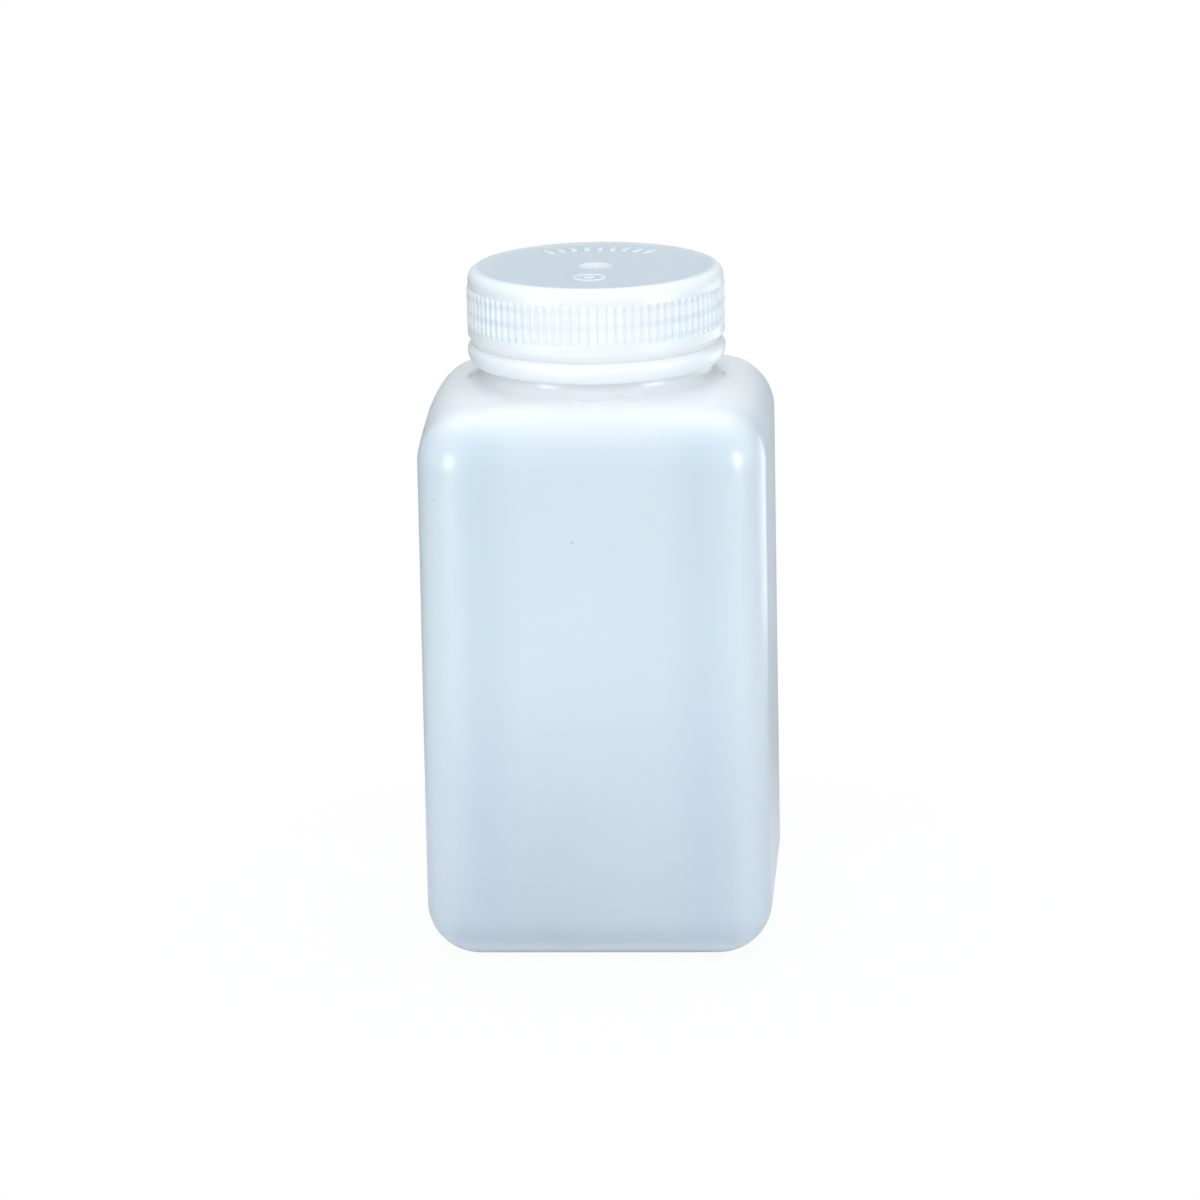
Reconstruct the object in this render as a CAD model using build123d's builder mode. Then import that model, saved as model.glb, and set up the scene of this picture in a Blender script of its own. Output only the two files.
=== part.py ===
"""Square wide-mouth bottle of about one litre, with its screw closure.

The bottle is blow moulded in one piece: a square body with round corners, a domed
shoulder that turns the square into a round neck, and one external thread on the neck.
The closure is injection moulded in one piece: a ribbed skirt with a rounded lower ring,
and a plug ring under its top that seals in the bottle's mouth.

Millimetres. The origin is the centre of the base, and +Z points up out of the mouth.
"""

import os
from math import hypot, pi, sqrt

from build123d import *

# Bottle body
BODY_WIDTH = 90.0
BODY_WALL = 1.6
CORNER_RADIUS = 14.5
BASE_EDGE_RADIUS = 13.4
SHOULDER_EDGE_RADIUS = 14.0
SHOULDER_EDGE_Z = 144.8  # where the dome would meet the middle of a flat side
DOME_RADIUS = 250.0
FOOT_WIDTH = 3.5  # flat border that the bottle stands on
PUSH_UP_HEIGHT = 2.2  # how far the middle of the base is raised
PUSH_UP_CORNER = 8.0
PUSH_UP_ROUND = 1.2
PUSH_UP_SLOPE = 40.0  # degrees from vertical

# Bottle neck
NECK_HEIGHT = 26.9  # from the dome to the sealing land
NECK_RADIUS = 29.9
NECK_WALL = 2.9
NECK_FOOT_RADIUS = 3.4
NECK_INNER_FOOT_RADIUS = 5.0
LAND_CHAMFER = 0.5

# Neck thread, one right-hand start of six turns to the inch
THREAD_PITCH = 25.4 / 6
THREAD_TURNS = 2.25
THREAD_DEPTH = 1.1
THREAD_ROOT_WIDTH = 2.6
THREAD_CREST_WIDTH = 1.1
THREAD_DROP = 3.6  # from the sealing land to the middle of the thread's upper end
THREAD_SINK = 0.4  # how deep the thread's own section reaches into the neck wall
THREAD_FADE_TURNS = 0.14  # turn over which each end of the thread runs out

# Closure skirt
SKIRT_WALL = 2.1  # at the crests of the ribs
CLOSURE_TOP_THICKNESS = 1.8
CLOSURE_TOP_ROUND = 3.0
SKIRT_LENGTH = 24.8
SKIRT_CLEARANCE = 0.4  # between the thread's crest and the skirt's bore
RING_HEIGHT = 5.1
RING_BULGE_DROP = 1.9  # from the ring's top to its widest point
RING_FOOT_INSET = 1.5
GROOVE_WIDTH = 1.9
GROOVE_DEPTH = 0.95  # below the plain band
BAND_INSET = 0.35
BAND_HEIGHT = 3.0

# Grip ribs
RIB_COUNT = 90
RIB_DEPTH = 0.55
RIB_CREST_WIDTH = 0.9
RIB_FOOT_WIDTH = 1.7
RIB_DROP = 3.3  # from the closure's top to the upper end of the ribs

# Plug ring, and the dished gate mark on the closure's top
PLUG_CLEARANCE = 0.25
PLUG_WALL = 1.5
PLUG_DEPTH = 3.6
PLUG_LEAD = 0.7
GATE_RADIUS = 4.5
GATE_DEPTH = 0.5

# Sizes that follow from the ones above
DOME_CENTRE_Z = SHOULDER_EDGE_Z - sqrt(DOME_RADIUS**2 - (BODY_WIDTH / 2) ** 2)
NECK_FOOT_Z = DOME_CENTRE_Z + sqrt(DOME_RADIUS**2 - NECK_RADIUS**2)
LAND_Z = NECK_FOOT_Z + NECK_HEIGHT
BORE_RADIUS = NECK_RADIUS - NECK_WALL
CREST_RADIUS = NECK_RADIUS + THREAD_DEPTH
THREAD_HEIGHT = THREAD_PITCH * THREAD_TURNS
THREAD_Z = LAND_Z - THREAD_DROP - THREAD_HEIGHT
PUSH_UP_WIDTH = BODY_WIDTH - 2 * (BASE_EDGE_RADIUS + FOOT_WIDTH)
TOP_Z = LAND_Z + CLOSURE_TOP_THICKNESS
SKIRT_Z = TOP_Z - SKIRT_LENGTH
SKIRT_BORE = CREST_RADIUS + SKIRT_CLEARANCE
CLOSURE_RADIUS = SKIRT_BORE + SKIRT_WALL
RING_TOP_Z = SKIRT_Z + RING_HEIGHT
BAND_RADIUS = CLOSURE_RADIUS - BAND_INSET
PLUG_RADIUS = BORE_RADIUS - PLUG_CLEARANCE
RIB_FOOT_Z = RING_TOP_Z + GROOVE_WIDTH + BAND_HEIGHT
RIB_TOP_Z = TOP_Z - RIB_DROP
RIB_PITCH = 2 * pi * CLOSURE_RADIUS / RIB_COUNT
FLUTE_FLOOR = RIB_PITCH - RIB_FOOT_WIDTH
FLUTE_SIDE_SLOPE = (RIB_FOOT_WIDTH - RIB_CREST_WIDTH) / RIB_DEPTH
FLUTE_MOUTH = FLUTE_FLOOR + 2 * RIB_DEPTH * FLUTE_SIDE_SLOPE


def body_form(inset, neck_radius, foot_radius, neck_top):
    """The square body with its domed shoulder and round neck, moved inwards by inset."""
    width = BODY_WIDTH - 2 * inset
    reach = width * sqrt(0.5)
    dome = DOME_RADIUS - inset
    rim = (reach, DOME_CENTRE_Z + sqrt(dome**2 - reach**2))
    foot_x = neck_radius + foot_radius
    foot_rise = sqrt((dome + foot_radius) ** 2 - foot_x**2)
    foot_share = dome / (dome + foot_radius)
    foot_top = (neck_radius, DOME_CENTRE_Z + foot_rise)
    foot_end = (foot_x * foot_share, DOME_CENTRE_Z + foot_rise * foot_share)
    with BuildPart() as form:
        with BuildSketch(Plane.XY.offset(inset)):
            RectangleRounded(width, width, CORNER_RADIUS - inset)
        extrude(amount=neck_top - inset)
        with BuildSketch(Plane.XZ):
            with BuildLine():
                Polyline(rim, (reach, 0), (0, 0), (0, neck_top), (neck_radius, neck_top), foot_top)
                foot = TangentArc(foot_top, foot_end, tangent=(0, -1))
                TangentArc(foot_end, rim, tangent=foot % 1)
            make_face()
        revolve(axis=Axis.Z, mode=Mode.INTERSECT)
        dome_edges = form.faces().filter_by(GeomType.SPHERE).edges()
        shoulder = dome_edges.filter_by(lambda edge: distance_out(edge @ 0.5) > width / 2 - 0.1)
        fillet(shoulder, SHOULDER_EDGE_RADIUS - inset)
        fillet(form.faces().sort_by(Axis.Z)[0].edges(), BASE_EDGE_RADIUS - inset)
    return form.part


def distance_out(point):
    """How far a point is from the bottle's axis."""
    return hypot(point.X, point.Y)


def push_up(growth):
    """The raised middle of the base, as a block with sloping sides, grown by growth."""
    width = PUSH_UP_WIDTH + 2 * growth
    with BuildPart() as block:
        with BuildSketch():
            RectangleRounded(width, width, PUSH_UP_CORNER + growth)
        extrude(amount=PUSH_UP_HEIGHT + growth, taper=PUSH_UP_SLOPE)
        fillet(block.faces().sort_by(Axis.Z)[-1].edges(), PUSH_UP_ROUND + growth)
    return block.part


def thread_section(helix, position, share):
    """The thread's section at a position along its helix, with a share of its depth."""
    centre = helix @ position
    outwards = Vector(centre.X, centre.Y, 0)
    root = THREAD_ROOT_WIDTH / 2
    crest = THREAD_CREST_WIDTH / 2
    depth = THREAD_DEPTH * share
    with BuildSketch(Plane(centre, x_dir=outwards, z_dir=helix % position)) as section:
        with BuildLine():
            Polyline(
                (-THREAD_SINK, -root),
                (depth, -crest),
                (depth, crest),
                (-THREAD_SINK, root),
                close=True,
            )
        make_face()
    return section.sketch


# Bottle
with BuildPart() as cavity:
    add(body_form(BODY_WALL, BORE_RADIUS, NECK_INNER_FOOT_RADIUS, LAND_Z))
    add(push_up(BODY_WALL), mode=Mode.SUBTRACT)

with BuildPart() as thread:
    with BuildLine():
        helix = Helix(THREAD_PITCH, THREAD_HEIGHT, NECK_RADIUS, center=(0, 0, THREAD_Z))
    fade = THREAD_FADE_TURNS / THREAD_TURNS
    full_start = thread_section(helix, fade, 1)
    full_end = thread_section(helix, 1 - fade, 1)
    sweep(full_start, path=helix.trim(fade, 1 - fade), is_frenet=True)
    run_in = [thread_section(helix, 0, 0), full_start]
    sweep(run_in, path=helix.trim(0, fade), multisection=True, is_frenet=True)
    run_out = [full_end, thread_section(helix, 1, 0)]
    sweep(run_out, path=helix.trim(1 - fade, 1), multisection=True, is_frenet=True)

with BuildPart() as bottle:
    add(body_form(0, NECK_RADIUS, NECK_FOOT_RADIUS, LAND_Z))
    add(push_up(0), mode=Mode.SUBTRACT)
    add(cavity.part, mode=Mode.SUBTRACT)
    chamfer(bottle.faces().sort_by(Axis.Z)[-1].edges(), LAND_CHAMFER)
    add(thread.part)
bottle.part.label = "bottle"


# Closure
with BuildPart() as closure:
    with BuildSketch(Plane.XZ):
        with BuildLine():
            # top face, dished at its middle, and its rounded rim
            TangentArc((0, TOP_Z - GATE_DEPTH), (GATE_RADIUS, TOP_Z), tangent=(1, 0))
            Line((GATE_RADIUS, TOP_Z), (CLOSURE_RADIUS - CLOSURE_TOP_ROUND, TOP_Z))
            TangentArc(
                (CLOSURE_RADIUS - CLOSURE_TOP_ROUND, TOP_Z),
                (CLOSURE_RADIUS, TOP_Z - CLOSURE_TOP_ROUND),
                tangent=(1, 0),
            )
            # outside of the skirt, downwards: rib zone, plain band, groove and ring
            Polyline(
                (CLOSURE_RADIUS, TOP_Z - CLOSURE_TOP_ROUND),
                (CLOSURE_RADIUS, RIB_FOOT_Z),
                (BAND_RADIUS, RIB_FOOT_Z),
                (BAND_RADIUS, RING_TOP_Z + GROOVE_WIDTH),
                (BAND_RADIUS - GROOVE_DEPTH, RING_TOP_Z + GROOVE_WIDTH / 2),
                (BAND_RADIUS, RING_TOP_Z),
            )
            ThreePointArc(
                (BAND_RADIUS, RING_TOP_Z),
                (CLOSURE_RADIUS, RING_TOP_Z - RING_BULGE_DROP),
                (CLOSURE_RADIUS - RING_FOOT_INSET, SKIRT_Z),
            )
            # inside, upwards: skirt bore, sealing face and plug ring
            Polyline(
                (CLOSURE_RADIUS - RING_FOOT_INSET, SKIRT_Z),
                (SKIRT_BORE, SKIRT_Z),
                (SKIRT_BORE, LAND_Z),
                (PLUG_RADIUS, LAND_Z),
                (PLUG_RADIUS, LAND_Z - PLUG_DEPTH + PLUG_LEAD),
                (PLUG_RADIUS - PLUG_LEAD, LAND_Z - PLUG_DEPTH),
                (PLUG_RADIUS - PLUG_WALL, LAND_Z - PLUG_DEPTH),
                (PLUG_RADIUS - PLUG_WALL, LAND_Z),
                (0, LAND_Z),
                (0, TOP_Z - GATE_DEPTH),
            )
        make_face()
    revolve(axis=Axis.Z)
    # the ribs are what is left between the flutes
    with BuildSketch(Plane.XY.offset(RIB_FOOT_Z)):
        with PolarLocations(CLOSURE_RADIUS, RIB_COUNT):
            Polygon(
                (-RIB_DEPTH, -FLUTE_FLOOR / 2),
                (RIB_DEPTH, -FLUTE_MOUTH / 2),
                (RIB_DEPTH, FLUTE_MOUTH / 2),
                (-RIB_DEPTH, FLUTE_FLOOR / 2),
                align=None,
            )
    extrude(amount=RIB_TOP_Z - RIB_FOOT_Z, mode=Mode.SUBTRACT)
closure.part.label = "closure"


os.makedirs("parts", exist_ok=True)
export_step(bottle.part, "parts/bottle.step")
export_step(closure.part, "parts/closure.step")
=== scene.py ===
"""Looks of a square wide-mouth media bottle with its ribbed screw closure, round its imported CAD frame.

The bottle and its closure are meshes built here, row by row from the middle of the base or of
the top, each in the place of its CAD node. Sizes are in millimetres and turn into metres when a
mesh is made. +Z is up, and -Y faces the viewer.
"""

import bpy
import numpy as np
from mathutils import Matrix, Vector


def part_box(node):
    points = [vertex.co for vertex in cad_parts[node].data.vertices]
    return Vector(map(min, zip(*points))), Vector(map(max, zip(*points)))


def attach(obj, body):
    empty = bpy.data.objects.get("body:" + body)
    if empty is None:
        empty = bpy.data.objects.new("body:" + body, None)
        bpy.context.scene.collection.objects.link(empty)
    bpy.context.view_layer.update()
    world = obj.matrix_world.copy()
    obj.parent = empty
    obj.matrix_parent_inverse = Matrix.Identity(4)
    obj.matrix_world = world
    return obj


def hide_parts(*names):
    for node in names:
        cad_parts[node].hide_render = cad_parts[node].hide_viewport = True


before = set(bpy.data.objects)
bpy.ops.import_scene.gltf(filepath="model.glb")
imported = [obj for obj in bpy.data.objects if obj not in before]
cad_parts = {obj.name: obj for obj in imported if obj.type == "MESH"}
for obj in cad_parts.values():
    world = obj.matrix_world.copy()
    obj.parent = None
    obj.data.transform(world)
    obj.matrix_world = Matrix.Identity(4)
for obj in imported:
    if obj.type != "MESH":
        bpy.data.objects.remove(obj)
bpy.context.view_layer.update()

MM = 0.001

# Sizes taken from the frame
_, bottle_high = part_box("bottle")
closure_low, closure_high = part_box("closure")
BODY_HALF = bottle_high.x / MM
LAND_Z = bottle_high.z / MM
TOP_Z = closure_high.z / MM
SKIRT_Z = closure_low.z / MM

# Bottle body
SKIN = 0.12  # how far the resting skin lies inside the solid's box, which leaves room for waviness
WALL = 1.6
CORNER_RADIUS = 14.5
BASE_EDGE_RADIUS = 13.4
SHOULDER_EDGE_RADIUS = 14.0
SHOULDER_EDGE_Z = 144.8
DOME_RADIUS = 250.0
DOME_CENTRE_Z = SHOULDER_EDGE_Z - np.sqrt(DOME_RADIUS**2 - BODY_HALF**2)
FOOT_WIDTH = 3.5
PUSH_UP_HEIGHT = 2.2
PUSH_UP_RISE_WIDTH = 5.0
PUSH_UP_CORNER = 8.0
PUSH_UP_CROWN = 0.35  # how much higher the push-up is in its middle
PARTING_WIDTH = 0.45
PINCH_OFF_DEPTH = 0.5
PINCH_OFF_HALF = 22.0

# Bottle neck and its thread
NECK_RADIUS = 29.9
NECK_WALL = 2.9
NECK_FOOT_RADIUS = 3.4
NECK_INNER_FOOT_RADIUS = 5.0
LAND_ROUND = 0.5
THREAD_PITCH = 25.4 / 6
THREAD_TURNS = 2.25
THREAD_DEPTH = 1.1
THREAD_ROOT_WIDTH = 2.6
THREAD_CREST_WIDTH = 1.1
THREAD_DROP = 3.6
THREAD_FADE_TURNS = 0.14
THREAD_Z = LAND_Z - THREAD_DROP - THREAD_PITCH * THREAD_TURNS

# Closure
THREAD_CLEARANCE = 0.4
SKIRT_WALL = 2.1
SKIRT_BORE = NECK_RADIUS + THREAD_DEPTH + THREAD_CLEARANCE
CLOSURE_RADIUS = SKIRT_BORE + SKIRT_WALL
TOP_ROUND = 3.0
TOP_SINK = 0.25
RIM_INSET = 0.3  # of the smooth rim above the ribs
RIM_RADIUS = CLOSURE_RADIUS - RIM_INSET
RING_BULGE_RISE = 3.4  # from the skirt's foot to the ring's widest point
RING_HEIGHT = 5.5
RING_FOOT_INSET = 1.5
GROOVE_RISE = 1.8  # from the groove's bottom to the lip above it
GROOVE_DEPTH = 1.15
LIP_ROUND = 0.35
BAND_INSET = 0.12
BAND_RADIUS = CLOSURE_RADIUS - BAND_INSET
RIB_COUNT = 90
RIB_DEPTH = 0.55
RIB_DROP = 4.3
RIB_RUN_OUT = 0.8
RIB_FOOT_RISE = 10.1  # from the skirt's foot to the lower end of the ribs
PLUG_GAP = 0.25
PLUG_RADIUS = NECK_RADIUS - NECK_WALL - PLUG_GAP
PLUG_WALL = 1.5
PLUG_DEPTH = 3.6
PLUG_LEAD = 0.7
GATE_RADIUS = 4.5
GATE_DEPTH = 0.5
INNER_RIDGE_DEPTH = 0.85
RING_TOP_Z = SKIRT_Z + RING_HEIGHT
RIB_FOOT_Z = SKIRT_Z + RIB_FOOT_RISE
RIB_TOP_Z = TOP_Z - RIB_DROP

# How finely the bottle is divided round its body: a quarter is half a flat, a corner, half a flat
FLAT_STEPS = 14
CORNER_STEPS = 20
FLAT_CLUSTER = 1.5  # packs the columns closer beside the parting line in the middle of a side
QUARTER_STEPS = 2 * FLAT_STEPS + CORNER_STEPS
COLUMNS = 4 * QUARTER_STEPS
RIB_COLUMNS = np.array([0.0, 0.12, 0.25, 0.5, 0.75, 0.88])  # shares of a rib's pitch


def smooth(value):
    """Eases a value from 0 to 1, and holds it beyond them."""
    value = np.clip(value, 0.0, 1.0)
    return value * value * (3.0 - 2.0 * value)


def mesh_object(name, rows, start, end):
    """One closed mesh from rings of points, capped by a start point and an end point, in millimetres."""
    count = len(rows[0])
    points = np.vstack([start] + rows + [end]) * MM
    ring = np.arange(count)
    after = np.roll(ring, -1)
    faces = [(0, 1 + b, 1 + a) for a, b in zip(ring, after)]
    for index in range(len(rows) - 1):
        low = 1 + index * count
        high = low + count
        faces += [(low + a, low + b, high + b, high + a) for a, b in zip(ring, after)]
    last = 1 + (len(rows) - 1) * count
    faces += [(len(points) - 1, last + a, last + b) for a, b in zip(ring, after)]
    return mesh_from(name, points.tolist(), faces)


def mesh_from(name, points, faces):
    """A smooth-shaded object from points in metres and their faces."""
    mesh = bpy.data.meshes.new(name)
    mesh.from_pydata(points, [], faces)
    mesh.polygons.foreach_set("use_smooth", [True] * len(mesh.polygons))
    mesh.update()
    piece = bpy.data.objects.new(name, mesh)
    bpy.context.scene.collection.objects.link(piece)
    return piece


# ---------------------------------------------------------------- bottle form


def outline(half, corner):
    """Points of a rounded square and the way out at each, one for every column of the bottle."""
    core = half - corner
    steps = np.arange(QUARTER_STEPS)
    turn = np.clip((steps - FLAT_STEPS) / CORNER_STEPS, 0.0, 1.0) * np.pi / 2
    way = np.stack([np.cos(turn), np.sin(turn)], 1)
    rise = np.clip(steps / FLAT_STEPS, 0.0, 1.0) ** FLAT_CLUSTER * core
    fall = np.clip((QUARTER_STEPS - steps) / FLAT_STEPS, 0.0, 1.0) ** FLAT_CLUSTER * core
    points = np.stack([fall, rise], 1) + corner * way
    points_all = []
    ways_all = []
    for _ in range(4):
        points_all.append(points)
        ways_all.append(way)
        points = np.stack([-points[:, 1], points[:, 0]], 1)
        way = np.stack([-way[:, 1], way[:, 0]], 1)
    return np.vstack(points_all), np.vstack(ways_all)


def ring_of(plane_points, heights):
    """A ring of 3-D points from their places seen from above and one height or many."""
    heights = np.broadcast_to(heights, (len(plane_points),))
    return np.column_stack([plane_points, heights])


COLUMN_TURN = np.arange(COLUMNS) / COLUMNS * 2 * np.pi
COLUMN_WAY = np.stack([np.cos(COLUMN_TURN), np.sin(COLUMN_TURN)], 1)


def dome_height(plane_points, dome):
    """Height of the shoulder's dome over a point seen from above."""
    return DOME_CENTRE_Z + np.sqrt(dome**2 - (plane_points**2).sum(1))


def base_rows(inset, half, corner, edge):
    """From the middle of the base outwards: push-up, standing border, and the round base edge."""
    rows = []
    border_half = half - edge
    foot_half = border_half - (0.0 if inset else FOOT_WIDTH)
    level = inset
    top_half = foot_half - PUSH_UP_RISE_WIDTH
    for share in (0.04, 0.12, 0.25, 0.4, 0.55, 0.7, 0.85, 0.95):
        points, _ = outline(top_half * share, PUSH_UP_CORNER * 0.6 * share)
        crown = PUSH_UP_CROWN * (1.0 - share**2)
        rows.append(ring_of(points, level + PUSH_UP_HEIGHT + crown))
    for share in np.linspace(0.0, 1.0, 9):
        points, _ = outline(top_half + share * PUSH_UP_RISE_WIDTH, PUSH_UP_CORNER * (0.6 + 0.4 * share))
        rows.append(ring_of(points, level + PUSH_UP_HEIGHT * (1.0 - smooth(share))))
    points, way = outline(half, corner)
    centres = points - edge * way
    for turn in np.linspace(0.0, np.pi / 2, 14):
        place = centres + edge * np.sin(turn) * way
        rows.append(ring_of(place, level + edge * (1.0 - np.cos(turn))))
    return rows


def side_rows(inset, half, corner, edge, shoulder, dome, count):
    """Up the walls and over the rolled shoulder edge, as far as the dome."""
    rows = []
    points, way = outline(half, corner)
    centres = points - shoulder * way
    centre_z = DOME_CENTRE_Z + np.sqrt((dome - shoulder) ** 2 - (centres**2).sum(1))
    bottom = inset + edge
    for share in np.linspace(0.0, 1.0, count + 1)[1:]:
        rows.append(ring_of(points, bottom + share * (centre_z - bottom)))
    out = np.column_stack([way, np.zeros(len(way))])
    centre = np.column_stack([centres, centre_z])
    up = centre - np.array([0.0, 0.0, DOME_CENTRE_Z])
    up /= np.linalg.norm(up, axis=1)[:, None]
    angle = np.arccos((out * up).sum(1))[:, None]
    for share in np.linspace(0.0, 1.0, 13)[1:]:
        blend = np.sin((1.0 - share) * angle) * out + np.sin(share * angle) * up
        rows.append(centre + shoulder * blend / np.sin(angle))
    return rows


def neck_rows(last_row, neck, foot, dome, count):
    """Across the dome and round the neck's concave foot, up to the neck's straight wall."""
    rows = []
    foot_x = neck + foot
    foot_z = DOME_CENTRE_Z + np.sqrt((dome + foot) ** 2 - foot_x**2)
    end_radius = foot_x * dome / (dome + foot)
    start = last_row[:, :2]
    for share in np.linspace(0.0, 1.0, count + 1)[1:]:
        place = start + share * (end_radius * COLUMN_WAY - start)
        rows.append(ring_of(place, dome_height(place, dome)))
    last_turn = np.arctan2(foot_z - DOME_CENTRE_Z, foot_x)
    for turn in np.linspace(last_turn, 0.0, 11)[1:]:
        radius = foot_x - foot * np.cos(turn)
        rows.append(ring_of(radius * COLUMN_WAY, foot_z - foot * np.sin(turn)))
    return rows, foot_z


def thread_height(turn, z):
    """How far the neck's thread stands out at a turn round the neck and a height, from 0 to 1."""
    rise = np.zeros_like(turn)
    for start in range(4):
        turns = turn / (2 * np.pi) + start
        distance = np.abs(z - THREAD_Z - THREAD_PITCH * turns)
        side = (THREAD_ROOT_WIDTH - THREAD_CREST_WIDTH) / 2
        height = smooth((THREAD_ROOT_WIDTH / 2 - distance) / side)
        fade = smooth(turns / THREAD_FADE_TURNS) * smooth((THREAD_TURNS - turns) / THREAD_FADE_TURNS)
        rise = np.maximum(rise, height * fade)
    return rise


def waviness(points):
    """Slow drift of the blown walls and their parting lines, in millimetres outwards, 0 at most."""
    x, y, z = points.T
    side = np.sin(z / 29.0 + 0.6) * 0.5 + np.sin(z / 17.0 + x / 23.0 - y / 31.0) * 0.3
    parting = np.exp(-((y / PARTING_WIDTH) ** 2)) * (np.abs(x) > BODY_HALF / 2)
    return -SKIN * np.clip(1.0 - 0.4 * side - 0.6 * parting, 0.0, 2.0)


def pinch_off(points):
    """How far the pinch-off line stands down from the push-up across the base."""
    x, y, _ = points.T
    along = smooth((PINCH_OFF_HALF - np.abs(x)) / 3.0)
    return PINCH_OFF_DEPTH * np.exp(-((y / PARTING_WIDTH) ** 2)) * along


def build_bottle():
    """The bottle as one closed mesh, outside from the base up, over the land, and down inside."""
    half = BODY_HALF
    rows = base_rows(0.0, half, CORNER_RADIUS, BASE_EDGE_RADIUS)
    rows += side_rows(0.0, half, CORNER_RADIUS, BASE_EDGE_RADIUS, SHOULDER_EDGE_RADIUS, DOME_RADIUS, 44)
    _, way = outline(half, CORNER_RADIUS)
    for row in rows:
        raised = smooth((row[:, 2] - 1.0) / 18.0)
        row[:, :2] += (waviness(row) * raised)[:, None] * way
        row[:, 2] -= pinch_off(row) * (row[:, 2] < PUSH_UP_HEIGHT + 1.0)
    neck, foot_z = neck_rows(rows[-1], NECK_RADIUS, NECK_FOOT_RADIUS, DOME_RADIUS, 8)
    rows += neck
    wall_top = LAND_Z - LAND_ROUND
    for z in np.linspace(foot_z, wall_top, 100)[1:]:
        radius = NECK_RADIUS + THREAD_DEPTH * thread_height(COLUMN_TURN, z)
        rows.append(ring_of(radius[:, None] * COLUMN_WAY, z))
    for turn in np.linspace(0.0, np.pi / 2, 5)[1:]:
        radius = NECK_RADIUS - LAND_ROUND * (1.0 - np.cos(turn))
        rows.append(ring_of(radius * COLUMN_WAY, wall_top + LAND_ROUND * np.sin(turn)))
    bore = NECK_RADIUS - NECK_WALL
    for turn in np.linspace(0.0, np.pi / 2, 5):
        radius = bore + LAND_ROUND * (1.0 - np.sin(turn))
        rows.append(ring_of(radius * COLUMN_WAY, LAND_Z - LAND_ROUND * (1.0 - np.cos(turn))))
    inside = base_rows(WALL, half - WALL, CORNER_RADIUS - WALL, BASE_EDGE_RADIUS - WALL)
    inside += side_rows(
        WALL,
        half - WALL,
        CORNER_RADIUS - WALL,
        BASE_EDGE_RADIUS - WALL,
        SHOULDER_EDGE_RADIUS - WALL,
        DOME_RADIUS - WALL,
        12,
    )
    inner_neck, inner_foot_z = neck_rows(inside[-1], bore, NECK_INNER_FOOT_RADIUS, DOME_RADIUS - WALL, 5)
    inside += inner_neck
    for z in np.linspace(inner_foot_z, wall_top, 8)[1:-1]:
        inside.append(ring_of(bore * COLUMN_WAY, z))
    rows += inside[::-1]
    start = np.array([0.0, 0.0, PUSH_UP_HEIGHT + PUSH_UP_CROWN])
    end = np.array([0.0, 0.0, WALL + PUSH_UP_HEIGHT + PUSH_UP_CROWN])
    return mesh_object("blown_bottle", rows, start, end)


# ---------------------------------------------------------------- closure form

RIB_PITCH_TURN = 2 * np.pi / RIB_COUNT
CLOSURE_TURN = (np.arange(RIB_COUNT)[:, None] + RIB_COLUMNS).ravel() * RIB_PITCH_TURN
CLOSURE_WAY = np.stack([np.cos(CLOSURE_TURN), np.sin(CLOSURE_TURN)], 1)
FLUTE_SHARE = 1.0 - np.tile(smooth((np.abs(RIB_COLUMNS - 0.5) - 0.14) / 0.22), RIB_COUNT)


def closure_ring(radius, z, flute=0.0):
    """A ring of the closure, cut between its ribs by a share of the ribs' depth."""
    radii = radius - RIB_DEPTH * flute * FLUTE_SHARE
    return ring_of(radii[:, None] * CLOSURE_WAY, z)


def inner_ridge(turn, z):
    """How far the closure's own thread ridge stands in from the skirt's bore, from 0 to 1."""
    shifted = z + THREAD_PITCH / 2
    return thread_height(turn, shifted)


def arc_points(centre, radius, first, last, count):
    """Points of an arc in the closure's section, as (distance out, height)."""
    turns = np.radians(np.linspace(first, last, count))
    return [(centre[0] + radius * np.cos(t), centre[1] + radius * np.sin(t)) for t in turns]


def tangent_arc(start, end, count):
    """Points of the arc that leaves its start straight up or down and reaches its end."""
    inset = start[0] - end[0]
    rise = end[1] - start[1]
    radius = (inset**2 + rise**2) / (2 * inset)
    sweep = np.degrees(np.arctan2(rise, radius - inset))
    return arc_points((start[0] - radius, start[1]), radius, 0.0, sweep, count)


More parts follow.
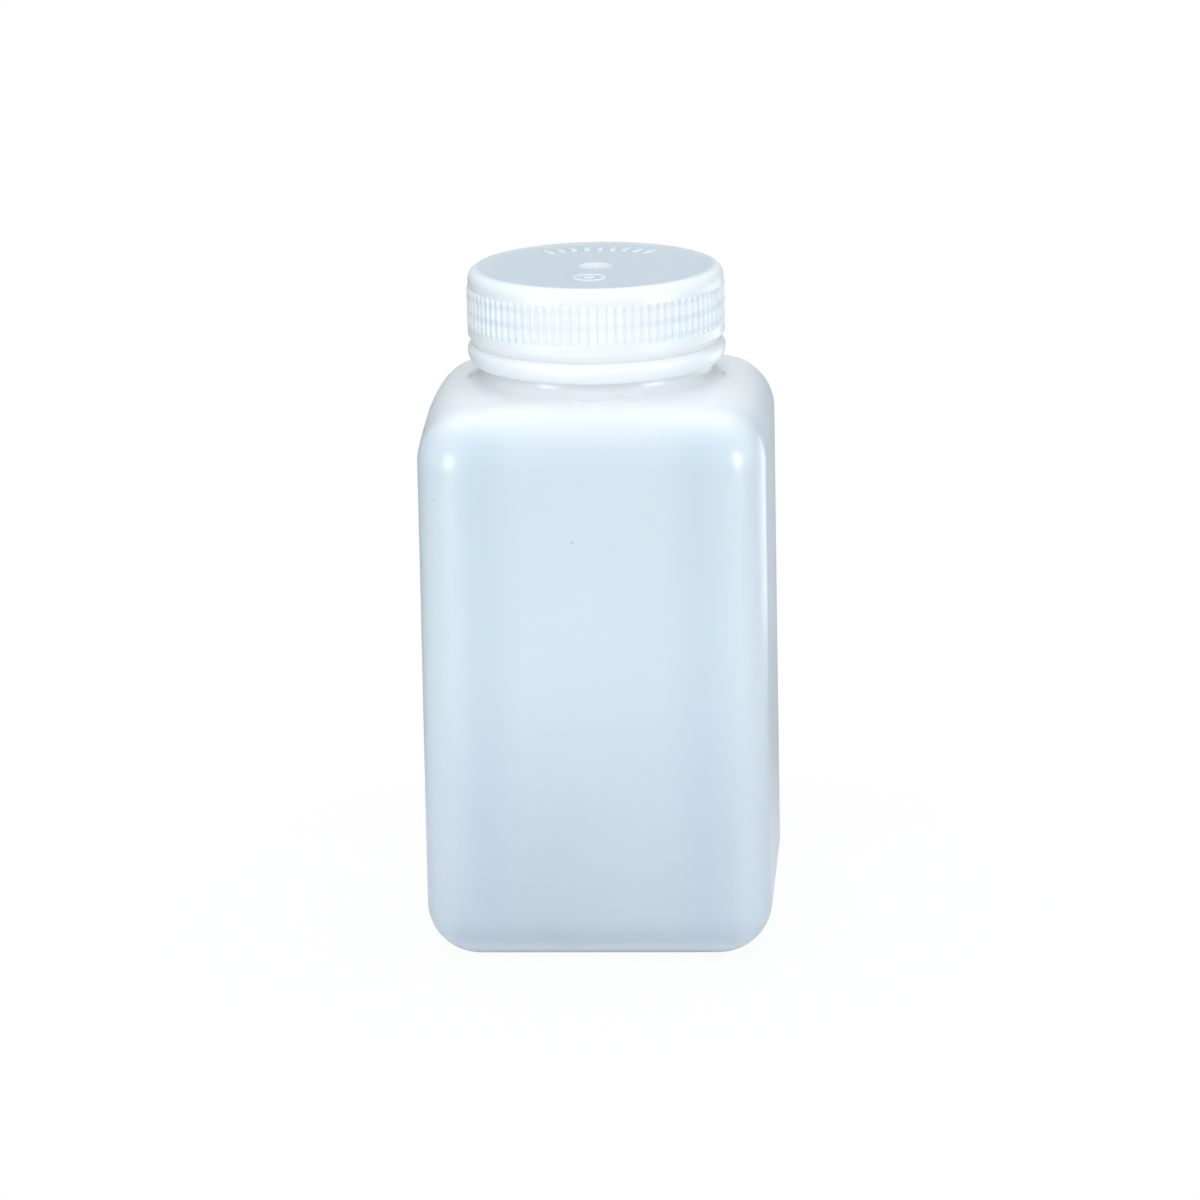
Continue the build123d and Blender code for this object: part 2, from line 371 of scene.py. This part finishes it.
def build_closure():
    """The closure as one closed mesh: top, ribbed skirt and ring outside, then thread and plug inside."""
    rows = []
    disc_z = TOP_Z - TOP_SINK
    for share in (0.15, 0.35, 0.55, 0.75, 0.9, 1.0):
        rows.append(closure_ring(GATE_RADIUS * share, disc_z - GATE_DEPTH * (1.0 - share**2)))
    rim_inner = RIM_RADIUS - TOP_ROUND - 1.6
    rim_outer = RIM_RADIUS - TOP_ROUND - 0.4
    for radius in (4.9, 6.0, 9.0, 12.0, 16.0, 20.0, 24.0, 27.0, rim_inner):
        rows.append(closure_ring(radius, disc_z))
    for share in (0.2, 0.4, 0.6, 0.8, 1.0):
        radius = rim_inner + share * (rim_outer - rim_inner)
        rows.append(closure_ring(radius, disc_z + TOP_SINK * smooth(share)))
    centre = (RIM_RADIUS - TOP_ROUND, TOP_Z - TOP_ROUND)
    for radius, z in arc_points(centre, TOP_ROUND, 90.0, 0.0, 11):
        rows.append(closure_ring(radius, z))
    for share in np.linspace(0.0, 1.0, 6):
        eased = smooth(share)
        rows.append(closure_ring(RIM_RADIUS + RIM_INSET * eased, RIB_TOP_Z - share * RIB_RUN_OUT, eased))
    foot_start = RIB_FOOT_Z + 0.25
    for z in np.linspace(RIB_TOP_Z - RIB_RUN_OUT, foot_start, 8)[1:]:
        rows.append(closure_ring(CLOSURE_RADIUS, z, 1.0))
    rows.append(closure_ring(CLOSURE_RADIUS - 0.06, RIB_FOOT_Z + 0.05, 0.6))
    rows.append(closure_ring(BAND_RADIUS, RIB_FOOT_Z - 0.1))
    lip_z = RING_TOP_Z + GROOVE_RISE
    for z in np.linspace(RIB_FOOT_Z - 0.3, lip_z + LIP_ROUND, 4):
        rows.append(closure_ring(BAND_RADIUS, z))
    for radius, z in arc_points((BAND_RADIUS - LIP_ROUND, lip_z + LIP_ROUND), LIP_ROUND, 0.0, -55.0, 5)[1:]:
        rows.append(closure_ring(radius, z))
    groove_radius = BAND_RADIUS - GROOVE_DEPTH
    rows.append(closure_ring(groove_radius + 0.12, RING_TOP_Z + 0.25))
    rows.append(closure_ring(groove_radius, RING_TOP_Z))
    bulge_z = SKIRT_Z + RING_BULGE_RISE
    upper = tangent_arc((CLOSURE_RADIUS, bulge_z), (groove_radius, RING_TOP_Z - 0.2), 9)
    lower = tangent_arc((CLOSURE_RADIUS, bulge_z), (CLOSURE_RADIUS - RING_FOOT_INSET, SKIRT_Z), 9)
    for radius, z in upper[::-1] + lower[1:]:
        rows.append(closure_ring(radius, z))
    rows.append(closure_ring(SKIRT_BORE + 0.15, SKIRT_Z))
    for z in np.linspace(SKIRT_Z + 0.2, LAND_Z - 0.2, 50):
        radius = SKIRT_BORE - INNER_RIDGE_DEPTH * inner_ridge(CLOSURE_TURN, z)
        rows.append(ring_of(radius[:, None] * CLOSURE_WAY, z))
    inside = [
        (SKIRT_BORE - 0.2, LAND_Z),
        (PLUG_RADIUS + 0.3, LAND_Z),
        (PLUG_RADIUS, LAND_Z - 0.3),
        (PLUG_RADIUS, LAND_Z - PLUG_DEPTH + PLUG_LEAD),
        (PLUG_RADIUS - 0.4 * PLUG_LEAD, LAND_Z - PLUG_DEPTH + 0.25 * PLUG_LEAD),
        (PLUG_RADIUS - PLUG_LEAD, LAND_Z - PLUG_DEPTH),
        (PLUG_RADIUS - PLUG_WALL + 0.2, LAND_Z - PLUG_DEPTH),
        (PLUG_RADIUS - PLUG_WALL, LAND_Z - PLUG_DEPTH + 0.2),
        (PLUG_RADIUS - PLUG_WALL, LAND_Z - 0.4),
        (PLUG_RADIUS - PLUG_WALL - 0.4, LAND_Z),
        (15.0, LAND_Z),
        (5.0, LAND_Z),
    ]
    for radius, z in inside:
        rows.append(closure_ring(radius, z))
    start = np.array([0.0, 0.0, disc_z - GATE_DEPTH])
    end = np.array([0.0, 0.0, LAND_Z])
    piece = mesh_object("moulded_closure", rows, start, end)
    piece.data.flip_normals()
    return piece


bottle = build_bottle()
closure = build_closure()

# ---------------------------------------------------------------- marks on the closure's top

DISC_Z = TOP_Z - TOP_SINK
MARK_HEIGHT = 0.24
MARK_SINK = 0.15
RING_MARK_PLACE = (-0.6, -15.4)
RING_MARK_RADIUS = 3.9
RING_MARK_WIDTH = 1.3
DOT_MARK_RADIUS = 1.5
BAR_RADIUS = 22.0
BAR_COUNT = 9
BAR_PITCH = 3.5
BAR_LENGTH = 4.6
BAR_WIDTH = 1.7


def raised_ring(centre, radius, width):
    """Rows of a low rounded ring on the closure's disc."""
    turns = np.linspace(0.0, 2 * np.pi, 48, endpoint=False)
    way = np.stack([np.cos(turns), np.sin(turns)], 1)
    profile = [(0.5, -MARK_SINK), (0.42, 0.6 * MARK_HEIGHT), (0.2, MARK_HEIGHT)]
    profile += [(-x, z) for x, z in reversed(profile)]
    rows = [ring_of(np.array(centre) + (radius + width * x) * way, DISC_Z + z) for x, z in profile]
    return rows


def raised_bar(turn):
    """Rows of a low rounded bar that points away from the closure's axis."""
    ends = np.linspace(0.0, 2 * np.pi, 24, endpoint=False)
    round_part = np.stack([np.cos(ends), np.sin(ends)], 1) * BAR_WIDTH / 2
    straight = np.sign(np.cos(ends)) * (BAR_LENGTH - BAR_WIDTH) / 2
    outward = np.array([np.cos(turn), np.sin(turn)])
    across = np.array([-outward[1], outward[0]])
    rows = []
    for share, z in ((1.0, -MARK_SINK), (0.92, 0.6 * MARK_HEIGHT), (0.72, MARK_HEIGHT)):
        flat = share * round_part
        places = (BAR_RADIUS + flat[:, :1] + straight[:, None]) * outward + flat[:, 1:] * across
        rows.append(ring_of(places, DISC_Z + z))
    return rows


def raised_dot(centre, radius):
    """Rows of a low round dot on the closure's disc."""
    turns = np.linspace(0.0, 2 * np.pi, 24, endpoint=False)
    way = np.stack([np.cos(turns), np.sin(turns)], 1)
    profile = [(1.0, -MARK_SINK), (0.92, 0.6 * MARK_HEIGHT), (0.72, MARK_HEIGHT)]
    return [ring_of(np.array(centre) + radius * share * way, DISC_Z + z) for share, z in profile]


def build_marks():
    """The generic raised marks, joined in one mesh: a ring with a dot, and an arc of plain bars."""
    parts = [
        grid_faces(raised_ring(RING_MARK_PLACE, RING_MARK_RADIUS, RING_MARK_WIDTH), capped=False),
        grid_faces(raised_dot(RING_MARK_PLACE, DOT_MARK_RADIUS), capped=True),
    ]
    for index in range(BAR_COUNT):
        turn = np.pi / 2 + (index - (BAR_COUNT - 1) / 2) * BAR_PITCH / BAR_RADIUS
        parts.append(grid_faces(raised_bar(turn), capped=True))
    points = []
    faces = []
    for part_points, part_faces in parts:
        faces += [tuple(index + len(points) for index in face) for face in part_faces]
        points += part_points
    return mesh_from("closure_top_marks", points, faces)


def grid_faces(rows, capped):
    """Points and faces of rings joined in turn. The last joins the first, or the two are capped."""
    count = len(rows[0])
    points = [tuple(point * MM) for row in rows for point in row]
    faces = []
    for index in range(len(rows) - 1 if capped else len(rows)):
        low = index * count
        high = (index + 1) % len(rows) * count
        for step in range(count):
            after = (step + 1) % count
            faces.append((low + step, low + after, high + after, high + step))
    if capped:
        faces.append(tuple((len(rows) - 1) * count + step for step in range(count)))
        faces.append(tuple(reversed(range(count))))
    return points, faces


marks = build_marks()

# ---------------------------------------------------------------- materials

# Both plastics
PLASTIC_IOR = 1.5
SCATTER_WEIGHT = 0.7
SCATTER_RADIUS = (0.9, 1.0, 1.1)
ROUGHNESS_PATCH = 6.0
PEEL_SIZE = 9.0
GRAIN_SIZE = 0.6
GRAIN_DEPTH = 0.002

# The bottle's plastic. Its colours change between two heights, or two distances across a side, and carry
# painted light and shade
BOTTLE_ROUGHNESS = (0.285, 0.35)
BOTTLE_SCATTER = 3.0
BOTTLE_PEEL = 0.05
# Painted light: the foot is paler, standing in for the white floor's reflection and bounce
FOOT_LIGHT_COLOUR = (0.80, 0.86, 0.90, 1.0)
FOOT_LIGHT_SHARE = 0.85
FOOT_LIGHT_ENDS = (7, 1)
# Painted shade: the body darkens towards the bottom, standing in for the light falling off down it
BODY_LOW_SHADE_COLOUR = (0.505, 0.583, 0.655, 1.0)
BODY_HIGH_COLOUR = (0.655, 0.77, 0.865, 1.0)
BODY_SHADE_ENDS = (5, 95)
# Painted light: the shoulder dome by the neck is paler, standing in for light through the closure and
# lifting the shade under its ring
NECK_LIGHT_COLOUR = (0.90, 0.96, 1.0, 1.0)
NECK_LIGHT_ENDS = (136, 148)
# The random clouds' colour, which is also the painted light on the corners
CLOUD_AND_CORNER_LIGHT_COLOUR = (0.70, 0.80, 0.88, 1.0)
CLOUD_SIZE = 38.0
# Painted light: the corners are paler, standing in for light scattered through them
CORNER_LIGHT_SHARE = 0.3
CORNER_LIGHT_ENDS = (34, 40)
SHADE_COLOUR = (0.44, 0.55, 0.64, 1.0)  # beside the corners
CORNER_SHADE = 0.23
SHADE_INNER_ENDS = (17, 28)
SHADE_OUTER_ENDS = (36, 29)
SPECK_COLOUR = (0.30, 0.36, 0.42, 1.0)
SPECK_STRENGTH = 0.35
SPECK_CORE = 0.35  # share of a speck's radius that has its full strength
SPECKS = (((-39.9, -41.5, 123.0), 0.55), ((-4.6, -44.9, 112.5), 0.6), ((31.0, -44.9, 8.5), 0.5))

# The closure's plastic, with painted shade on its sides, its thread bands and its top disc, and painted
# light in its groove
CLOSURE_ROUGHNESS = (0.285, 0.36)
CLOSURE_SCATTER = 2.5
CLOSURE_PEEL = 0.03
SKIRT_COLOUR = (0.885, 0.922, 0.97, 1.0)
# Painted shade: the closure's left and right turn bluer and darker, as the light falls off towards them
SIDE_SHADE_COLOUR = (0.74, 0.88, 0.98, 1.0)
SIDE_SHADE_SHARE = 0.4
SIDE_SHADE_ENDS = (12, 27)
# Painted light: the groove under the lip is paler, lifting its shade
GROOVE_LIGHT_COLOUR = (0.93, 0.98, 1.0, 1.0)
# Painted shade of the neck's thread seen through the skirt
BAND_SHADE_COLOUR = (0.73, 0.825, 0.91, 1.0)  # where the neck's thread shows through
BAND_PHASE = 0.41
BAND_EDGE = (0.3, 0.08)  # shares of the thread's pitch from a band's middle
BAND_FRONT_SHARE = 0.25
# Painted shade: the top disc is darker than the skirt of the same plastic
DISC_SHADE_COLOUR = (0.60, 0.675, 0.725, 1.0)
DISC_ENDS = (32.4, 29.8)
# The marks and the gate carry a lighter painted shade than the disc
MARK_COLOUR = (0.74, 0.82, 0.87, 1.0)


class Recipe:
    """A material's node tree, with short calls for the nodes that the plastics share."""

    def __init__(self, name):
        self.material = bpy.data.materials.new(name)
        self.material.use_nodes = True
        self.nodes = self.material.node_tree.nodes
        self.links = self.material.node_tree.links
        self.shader = self.nodes["Principled BSDF"]
        place = self.nodes.new("ShaderNodeTexCoord").outputs["Object"]
        split = self.nodes.new("ShaderNodeSeparateXYZ")
        self.links.new(place, split.inputs[0])
        self.place = place
        self.x, self.y, self.z = split.outputs

    def feed(self, socket, value):
        """Sets a socket to a number or a colour, or links it."""
        if isinstance(value, bpy.types.NodeSocket):
            self.links.new(value, socket)
        else:
            socket.default_value = value

    def math(self, operation, *values, clamp=False):
        """The result of an operation on sockets or numbers."""
        node = self.nodes.new("ShaderNodeMath")
        node.operation = operation
        node.use_clamp = clamp
        for socket, value in zip(node.inputs, values):
            self.feed(socket, value)
        return node.outputs[0]

    def times(self, first, second):
        """The product of two sockets or numbers."""
        return self.math("MULTIPLY", first, second)

    def ease(self, value, low, high):
        """0 where a value is at low and 1 where it is at high, eased between them."""
        node = self.nodes.new("ShaderNodeMapRange")
        node.interpolation_type = "SMOOTHSTEP"
        self.feed(node.inputs["Value"], value)
        node.inputs["From Min"].default_value = low
        node.inputs["From Max"].default_value = high
        return node.outputs[0]

    def between(self, length, ends):
        """0 where a length is at the first of two ends in millimetres and 1 where it is at the second."""
        return self.ease(length, ends[0] * MM, ends[1] * MM)

    def mix(self, share, first, second):
        """A colour between two others."""
        node = self.nodes.new("ShaderNodeMix")
        node.data_type = "RGBA"
        self.feed(node.inputs["Factor"], share)
        self.feed(node.inputs["A"], first)
        self.feed(node.inputs["B"], second)
        return node.outputs["Result"]

    def noise(self, size, detail=2.0):
        """Soft noise about as coarse as a size in millimetres, from 0 to 1."""
        node = self.nodes.new("ShaderNodeTexNoise")
        self.links.new(self.place, node.inputs["Vector"])
        node.inputs["Scale"].default_value = 1.0 / (size * MM)
        node.inputs["Detail"].default_value = detail
        return node.outputs["Fac"]

    def distance(self, centre):
        """How far a point of the surface is from a centre given in millimetres."""
        node = self.nodes.new("ShaderNodeVectorMath")
        node.operation = "DISTANCE"
        self.links.new(self.place, node.inputs[0])
        node.inputs[1].default_value = [coordinate * MM for coordinate in centre]
        return node.outputs["Value"]

    def bump(self, height, depth, under=None):
        """A bump of a depth in millimetres, over another bump where one is given."""
        node = self.nodes.new("ShaderNodeBump")
        node.inputs["Distance"].default_value = depth * MM
        self.links.new(height, node.inputs["Height"])
        if under is not None:
            self.links.new(under, node.inputs["Normal"])
        return node.outputs["Normal"]


def satin_plastic(name, roughness, scatter, peel):
    """A translucent satin plastic: soft light under the skin, fine grain and a slight orange peel."""
    recipe = Recipe(name)
    shader = recipe.shader
    shader.inputs["IOR"].default_value = PLASTIC_IOR
    shader.inputs["Subsurface Weight"].default_value = SCATTER_WEIGHT if scatter else 0.0
    shader.inputs["Subsurface Radius"].default_value = SCATTER_RADIUS
    shader.inputs["Subsurface Scale"].default_value = scatter * MM
    low, high = roughness
    rough = recipe.math("MULTIPLY_ADD", recipe.noise(ROUGHNESS_PATCH, 1.0), high - low, low)
    recipe.links.new(rough, shader.inputs["Roughness"])
    broad = recipe.bump(recipe.noise(PEEL_SIZE), peel)
    fine = recipe.bump(recipe.noise(GRAIN_SIZE), GRAIN_DEPTH, broad)
    recipe.links.new(fine, shader.inputs["Normal"])
    return recipe


def bottle_plastic():
    """Milky blue-white polyethylene with a few specks: painted light makes it paler at its neck, foot and
    corners, and painted shade makes it darker low down and beside the corners.
    """
    recipe = satin_plastic("bottle_polyethylene_look", BOTTLE_ROUGHNESS, BOTTLE_SCATTER, BOTTLE_PEEL)
    # Painted shade, darker towards the bottom of the body
    wall = recipe.mix(recipe.between(recipe.z, BODY_SHADE_ENDS), BODY_LOW_SHADE_COLOUR, BODY_HIGH_COLOUR)
    cloud = recipe.math("MULTIPLY_ADD", recipe.noise(CLOUD_SIZE, 1.0), 0.4, -0.12, clamp=True)
    wall = recipe.mix(cloud, wall, CLOUD_AND_CORNER_LIGHT_COLOUR)
    across = recipe.math("MINIMUM", recipe.math("ABSOLUTE", recipe.x), recipe.math("ABSOLUTE", recipe.y))
    shade = recipe.times(recipe.between(across, SHADE_INNER_ENDS), CORNER_SHADE)
    shade = recipe.times(recipe.between(across, SHADE_OUTER_ENDS), shade)
    wall = recipe.mix(shade, wall, SHADE_COLOUR)
    # Painted light on the corners
    corner = recipe.times(recipe.between(across, CORNER_LIGHT_ENDS), CORNER_LIGHT_SHARE)
    wall = recipe.mix(corner, wall, CLOUD_AND_CORNER_LIGHT_COLOUR)
    # Painted light on the foot, in place of the floor's reflection
    foot = recipe.times(recipe.between(recipe.z, FOOT_LIGHT_ENDS), FOOT_LIGHT_SHARE)
    wall = recipe.mix(foot, wall, FOOT_LIGHT_COLOUR)
    # Painted light on the shoulder dome by the neck
    colour = recipe.mix(recipe.between(recipe.z, NECK_LIGHT_ENDS), wall, NECK_LIGHT_COLOUR)
    for centre, radius in SPECKS:
        near = recipe.between(recipe.distance(centre), (radius, SPECK_CORE * radius))
        colour = recipe.mix(recipe.times(near, SPECK_STRENGTH), colour, SPECK_COLOUR)
    recipe.links.new(colour, recipe.shader.inputs["Base Color"])
    return recipe.material


def thread_band_shade(recipe, side_shade_mask):
    """Painted shade where the neck's thread shows through the skirt: slanting bands, fainter at front and
    back where the light washes them out.
    """
    turn = recipe.math("DIVIDE", recipe.math("ARCTAN2", recipe.y, recipe.x), 2 * np.pi)
    height = recipe.math("SUBTRACT", recipe.z, THREAD_Z * MM)
    level = recipe.math("SUBTRACT", recipe.math("DIVIDE", height, THREAD_PITCH * MM), turn)
    share = recipe.math("FRACT", recipe.math("SUBTRACT", level, BAND_PHASE - 0.5))
    off_centre = recipe.math("ABSOLUTE", recipe.math("SUBTRACT", share, 0.5))
    band = recipe.ease(off_centre, *BAND_EDGE)
    above = recipe.between(recipe.z, (RIB_FOOT_Z - 1.0, RIB_FOOT_Z + 1.0))
    below = recipe.between(recipe.z, (RIB_TOP_Z + 0.6, RIB_TOP_Z - 0.8))
    band = recipe.times(recipe.times(band, above), below)
    strength = recipe.math("MULTIPLY_ADD", side_shade_mask, 1.0 - BAND_FRONT_SHARE, BAND_FRONT_SHARE)
    return recipe.times(band, strength)


def closure_plastic(name, marked):
    """Milky polypropylene, for the closure or for the marks on it, which are paler than its disc, with
    painted shade and painted light.
    """
    recipe = satin_plastic(name, CLOSURE_ROUGHNESS, 0.0 if marked else CLOSURE_SCATTER, CLOSURE_PEEL)
    # Painted shade on the closure's left and right
    side_shade_mask = recipe.between(recipe.math("ABSOLUTE", recipe.x), SIDE_SHADE_ENDS)
    skirt = recipe.mix(recipe.times(side_shade_mask, SIDE_SHADE_SHARE), SKIRT_COLOUR, SIDE_SHADE_COLOUR)
    # Painted light in the groove under the lip
    deep = recipe.between(recipe.z, (RING_TOP_Z - 0.9, RING_TOP_Z - 0.1))
    lip_z = RING_TOP_Z + GROOVE_RISE
    lip = recipe.between(recipe.z, (lip_z + 0.7, lip_z))
    skirt = recipe.mix(recipe.times(deep, lip), skirt, GROOVE_LIGHT_COLOUR)
    # Painted shade of the thread bands
    colour = recipe.mix(thread_band_shade(recipe, side_shade_mask), skirt, BAND_SHADE_COLOUR)
    squares = recipe.math("ADD", recipe.times(recipe.x, recipe.x), recipe.times(recipe.y, recipe.y))
    out = recipe.math("POWER", squares, 0.5)
    # Painted shade on the top disc, lighter at the gate and on the marks
    high = recipe.between(recipe.z, (TOP_Z - 1.2, TOP_Z - 0.2))
    disc = recipe.times(high, recipe.between(out, DISC_ENDS))
    gate = recipe.between(out, (GATE_RADIUS + 0.2, GATE_RADIUS - 0.6))
    disc_shade_colour = MARK_COLOUR if marked else recipe.mix(gate, DISC_SHADE_COLOUR, MARK_COLOUR)
    colour = recipe.mix(disc, colour, disc_shade_colour)
    recipe.links.new(colour, recipe.shader.inputs["Base Color"])
    return recipe.material


bottle.data.materials.append(bottle_plastic())
closure.data.materials.append(closure_plastic("closure_polypropylene_look", False))
marks.data.materials.append(closure_plastic("closure_marks_look", True))

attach(bottle, "bottle")
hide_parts("bottle")
for piece in (closure, marks):
    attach(piece, "closure")
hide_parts("closure")

# ---------------------------------------------------------------- stage, light and camera

scene = bpy.context.scene
scene.view_settings.view_transform = "Standard"
MIDDLE = Vector((0.0, 0.0, 0.09))
FILL_COLOUR = (0.94, 0.965, 1.0)
AMBIENT_COLOUR = (0.92, 0.96, 1.0, 1.0)
AMBIENT_STRENGTHS = (0.66, 0.15)  # in front and behind
AMBIENT_ENDS = (0.2, 0.95)  # how far a direction points backwards
GLOSSY_WHITE = 0.2  # how much of the white background the plastics' gloss shows
FLOOR_HALF = 3.0
FLOOR_GAP = 0.0001  # keeps the floor clear of the bottle's foot
FLOOR_ROUGHNESS = 0.9
FLOOR_TONES = (0.84, 0.3)  # near the bottle and far off
FLOOR_TONE_ENDS = (0.2, 0.7)
FLOOR_REAR_SHARES = (1.0, 0.15)  # of its tone, beside the bottle and behind it
FLOOR_REAR_ENDS = (0.04, 0.2)
FLOOR_WHITES = (0.94, 1.0)  # less than 1 lets the bottle's shadow show
FLOOR_WHITE_ENDS = (0.06, 0.18)


def softbox(name, azimuth, elevation, distance, size, power, gloss=True, fill=True):
    """A soft lamp that faces the bottle, for gloss, for fill or both. Azimuth 90 is to its right."""
    data = bpy.data.lights.new(name, "AREA")
    data.shape = "RECTANGLE"
    data.size, data.size_y = size
    data.energy = power
    if fill:
        data.color = FILL_COLOUR
    lamp = bpy.data.objects.new(name, data)
    side = np.radians(azimuth)
    rise = np.radians(elevation)
    way = Vector((np.sin(side) * np.cos(rise), -np.cos(side) * np.cos(rise), np.sin(rise)))
    lamp.location = MIDDLE + distance * way
    lamp.rotation_euler = way.to_track_quat("Z", "Y").to_euler()
    lamp.visible_glossy = gloss
    lamp.visible_diffuse = fill
    lamp.visible_camera = False
    scene.collection.objects.link(lamp)


softbox("front_fill", 0, 46, 0.95, (0.8, 0.5), 2.3, gloss=False)
softbox("front_low_fill", -8, 4, 0.95, (1.3, 0.28), 2.3, gloss=False)
softbox("overhead_fill", 0, 80, 0.85, (0.7, 0.6), 1.25, gloss=False)
softbox("right_fill", 60, 15, 0.95, (0.5, 0.6), 0.3, gloss=False)
softbox("right_back_fill", 104, 12, 0.95, (0.5, 0.6), 1.2, gloss=False)
softbox("left_fill", -65, 15, 0.95, (0.5, 0.6), 0.25, gloss=False)
softbox("back_fill", 0, 125, 0.95, (0.9, 0.5), 2.7, gloss=False)
softbox("rear_fill", 180, 18, 0.95, (0.8, 0.5), 2.2, gloss=False)
softbox("overhead_strip", 0, 106, 0.9, (0.9, 0.42), 2.2, fill=False)
softbox("left_spot", -47, 8, 1.0, (0.15, 0.34), 4.6, fill=False)
softbox("right_spot", 60, 8, 1.0, (0.15, 0.34), 5.2, fill=False)
softbox("right_edge", 88, 8, 1.0, (0.35, 1.2), 1.5, fill=False)
softbox("right_low_edge", 130, -3, 0.34, (0.22, 0.15), 0.24, fill=False)
softbox("left_edge", -84, 8, 1.0, (0.35, 1.2), 1.0, fill=False)


def linked_node(tree, kind, first, second=None):
    """A new node whose first inputs are linked to one or two sockets, or set to numbers."""
    node = tree.nodes.new(kind)
    for socket, value in zip(node.inputs, (first, second)):
        if isinstance(value, bpy.types.NodeSocket):
            tree.links.new(value, socket)
        elif value is not None:
            socket.default_value = value
    return node


def combined(tree, operation, first, second):
    """The result of one operation on two sockets or numbers."""
    node = linked_node(tree, "ShaderNodeMath", first, second)
    node.operation = operation
    return node.outputs[0]


def ramp(tree, value, ends, results):
    """A number that goes smoothly from one result to the other as a value goes between two ends."""
    node = linked_node(tree, "ShaderNodeMapRange", value)
    node.interpolation_type = "SMOOTHSTEP"
    node.inputs["From Min"].default_value, node.inputs["From Max"].default_value = ends
    node.inputs["To Min"].default_value, node.inputs["To Max"].default_value = results
    return node.outputs[0]


def pale_to_the_eye(tree, lit, white, output, share):
    """Mixes a white for camera and transmission rays, and partly for glossy ones, into a lit shader."""
    path = tree.nodes.new("ShaderNodeLightPath")
    glossy = combined(tree, "MULTIPLY", path.outputs["Is Glossy Ray"], GLOSSY_WHITE)
    seen = combined(tree, "MAXIMUM", path.outputs["Is Camera Ray"], glossy)
    seen = combined(tree, "MAXIMUM", seen, path.outputs["Is Transmission Ray"])
    mix = linked_node(tree, "ShaderNodeMixShader", combined(tree, "MULTIPLY", seen, share), lit.outputs[0])
    tree.links.new(white.outputs[0], mix.inputs[2])
    tree.links.new(mix.outputs[0], output.inputs["Surface"])


def build_world():
    """A soft bluish surround that is darker behind the bottle, and white to the camera."""
    world = bpy.data.worlds.new("studio")
    scene.world = world
    world.use_nodes = True
    tree = world.node_tree
    ambient = tree.nodes["Background"]
    ambient.inputs["Color"].default_value = AMBIENT_COLOUR
    direction = tree.nodes.new("ShaderNodeTexCoord").outputs["Generated"]
    way = linked_node(tree, "ShaderNodeSeparateXYZ", direction)
    strength = ramp(tree, way.outputs["Y"], AMBIENT_ENDS, AMBIENT_STRENGTHS)
    tree.links.new(strength, ambient.inputs["Strength"])
    white = tree.nodes.new("ShaderNodeBackground")
    white.inputs["Color"].default_value = (1.0, 1.0, 1.0, 1.0)
    pale_to_the_eye(tree, ambient, white, tree.nodes["World Output"], 1.0)


def floor_look():
    """A matt pale floor, darker far off and behind, that is white to the camera but for a soft shadow."""
    material = bpy.data.materials.new("pale_floor")
    material.use_nodes = True
    tree = material.node_tree
    matt = tree.nodes["Principled BSDF"]
    matt.inputs["Roughness"].default_value = FLOOR_ROUGHNESS
    glow = tree.nodes.new("ShaderNodeEmission")
    glow.inputs["Strength"].default_value = 1.0
    place = tree.nodes.new("ShaderNodeTexCoord").outputs["Object"]
    away = tree.nodes.new("ShaderNodeVectorMath")
    away.operation = "LENGTH"
    tree.links.new(place, away.inputs[0])
    split = linked_node(tree, "ShaderNodeSeparateXYZ", place)
    tone = ramp(tree, away.outputs["Value"], FLOOR_TONE_ENDS, FLOOR_TONES)
    rear = ramp(tree, split.outputs["Y"], FLOOR_REAR_ENDS, FLOOR_REAR_SHARES)
    tree.links.new(combined(tree, "MULTIPLY", tone, rear), matt.inputs["Base Color"])
    whiteness = ramp(tree, away.outputs["Value"], FLOOR_WHITE_ENDS, FLOOR_WHITES)
    pale_to_the_eye(tree, matt, glow, tree.nodes["Material Output"], whiteness)
    return material


def build_floor():
    """A square floor just under the bottle's foot."""
    mesh = bpy.data.meshes.new("floor")
    corners = [(-1, -1, 0), (1, -1, 0), (1, 1, 0), (-1, 1, 0)]
    mesh.from_pydata([tuple(FLOOR_HALF * c for c in corner) for corner in corners], [], [(0, 1, 2, 3)])
    mesh.materials.append(floor_look())
    floor = bpy.data.objects.new("floor", mesh)
    scene.collection.objects.link(floor)
    floor.location.z = -FLOOR_GAP


build_world()
build_floor()

# The camera looks down a little from just right of square on, with a slight roll
VIEW_AZIMUTH = np.radians(3.527)
VIEW_ELEVATION = np.radians(14.011)
VIEW_ROLL = np.radians(-1.074)
VIEW_DISTANCE = 1.897
AIM_RIGHT = -0.000396
AIM_UP = -0.003675

camera_data = bpy.data.cameras.new("camera")
camera_data.sensor_width = 36.0
camera_data.lens = 217.2
camera = bpy.data.objects.new("camera", camera_data)
scene.collection.objects.link(camera)
scene.camera = camera
right = Vector((np.cos(VIEW_AZIMUTH), np.sin(VIEW_AZIMUTH), 0.0))
level = Vector((np.sin(VIEW_AZIMUTH), -np.cos(VIEW_AZIMUTH), 0.0))
back = level * np.cos(VIEW_ELEVATION) + Vector((0.0, 0.0, np.sin(VIEW_ELEVATION)))
up = back.cross(right)
aim = MIDDLE + AIM_RIGHT * right + AIM_UP * up
turned = Matrix((right, up, back)).transposed() @ Matrix.Rotation(VIEW_ROLL, 3, "Z")
camera.matrix_world = Matrix.Translation(aim + VIEW_DISTANCE * back) @ turned.to_4x4()
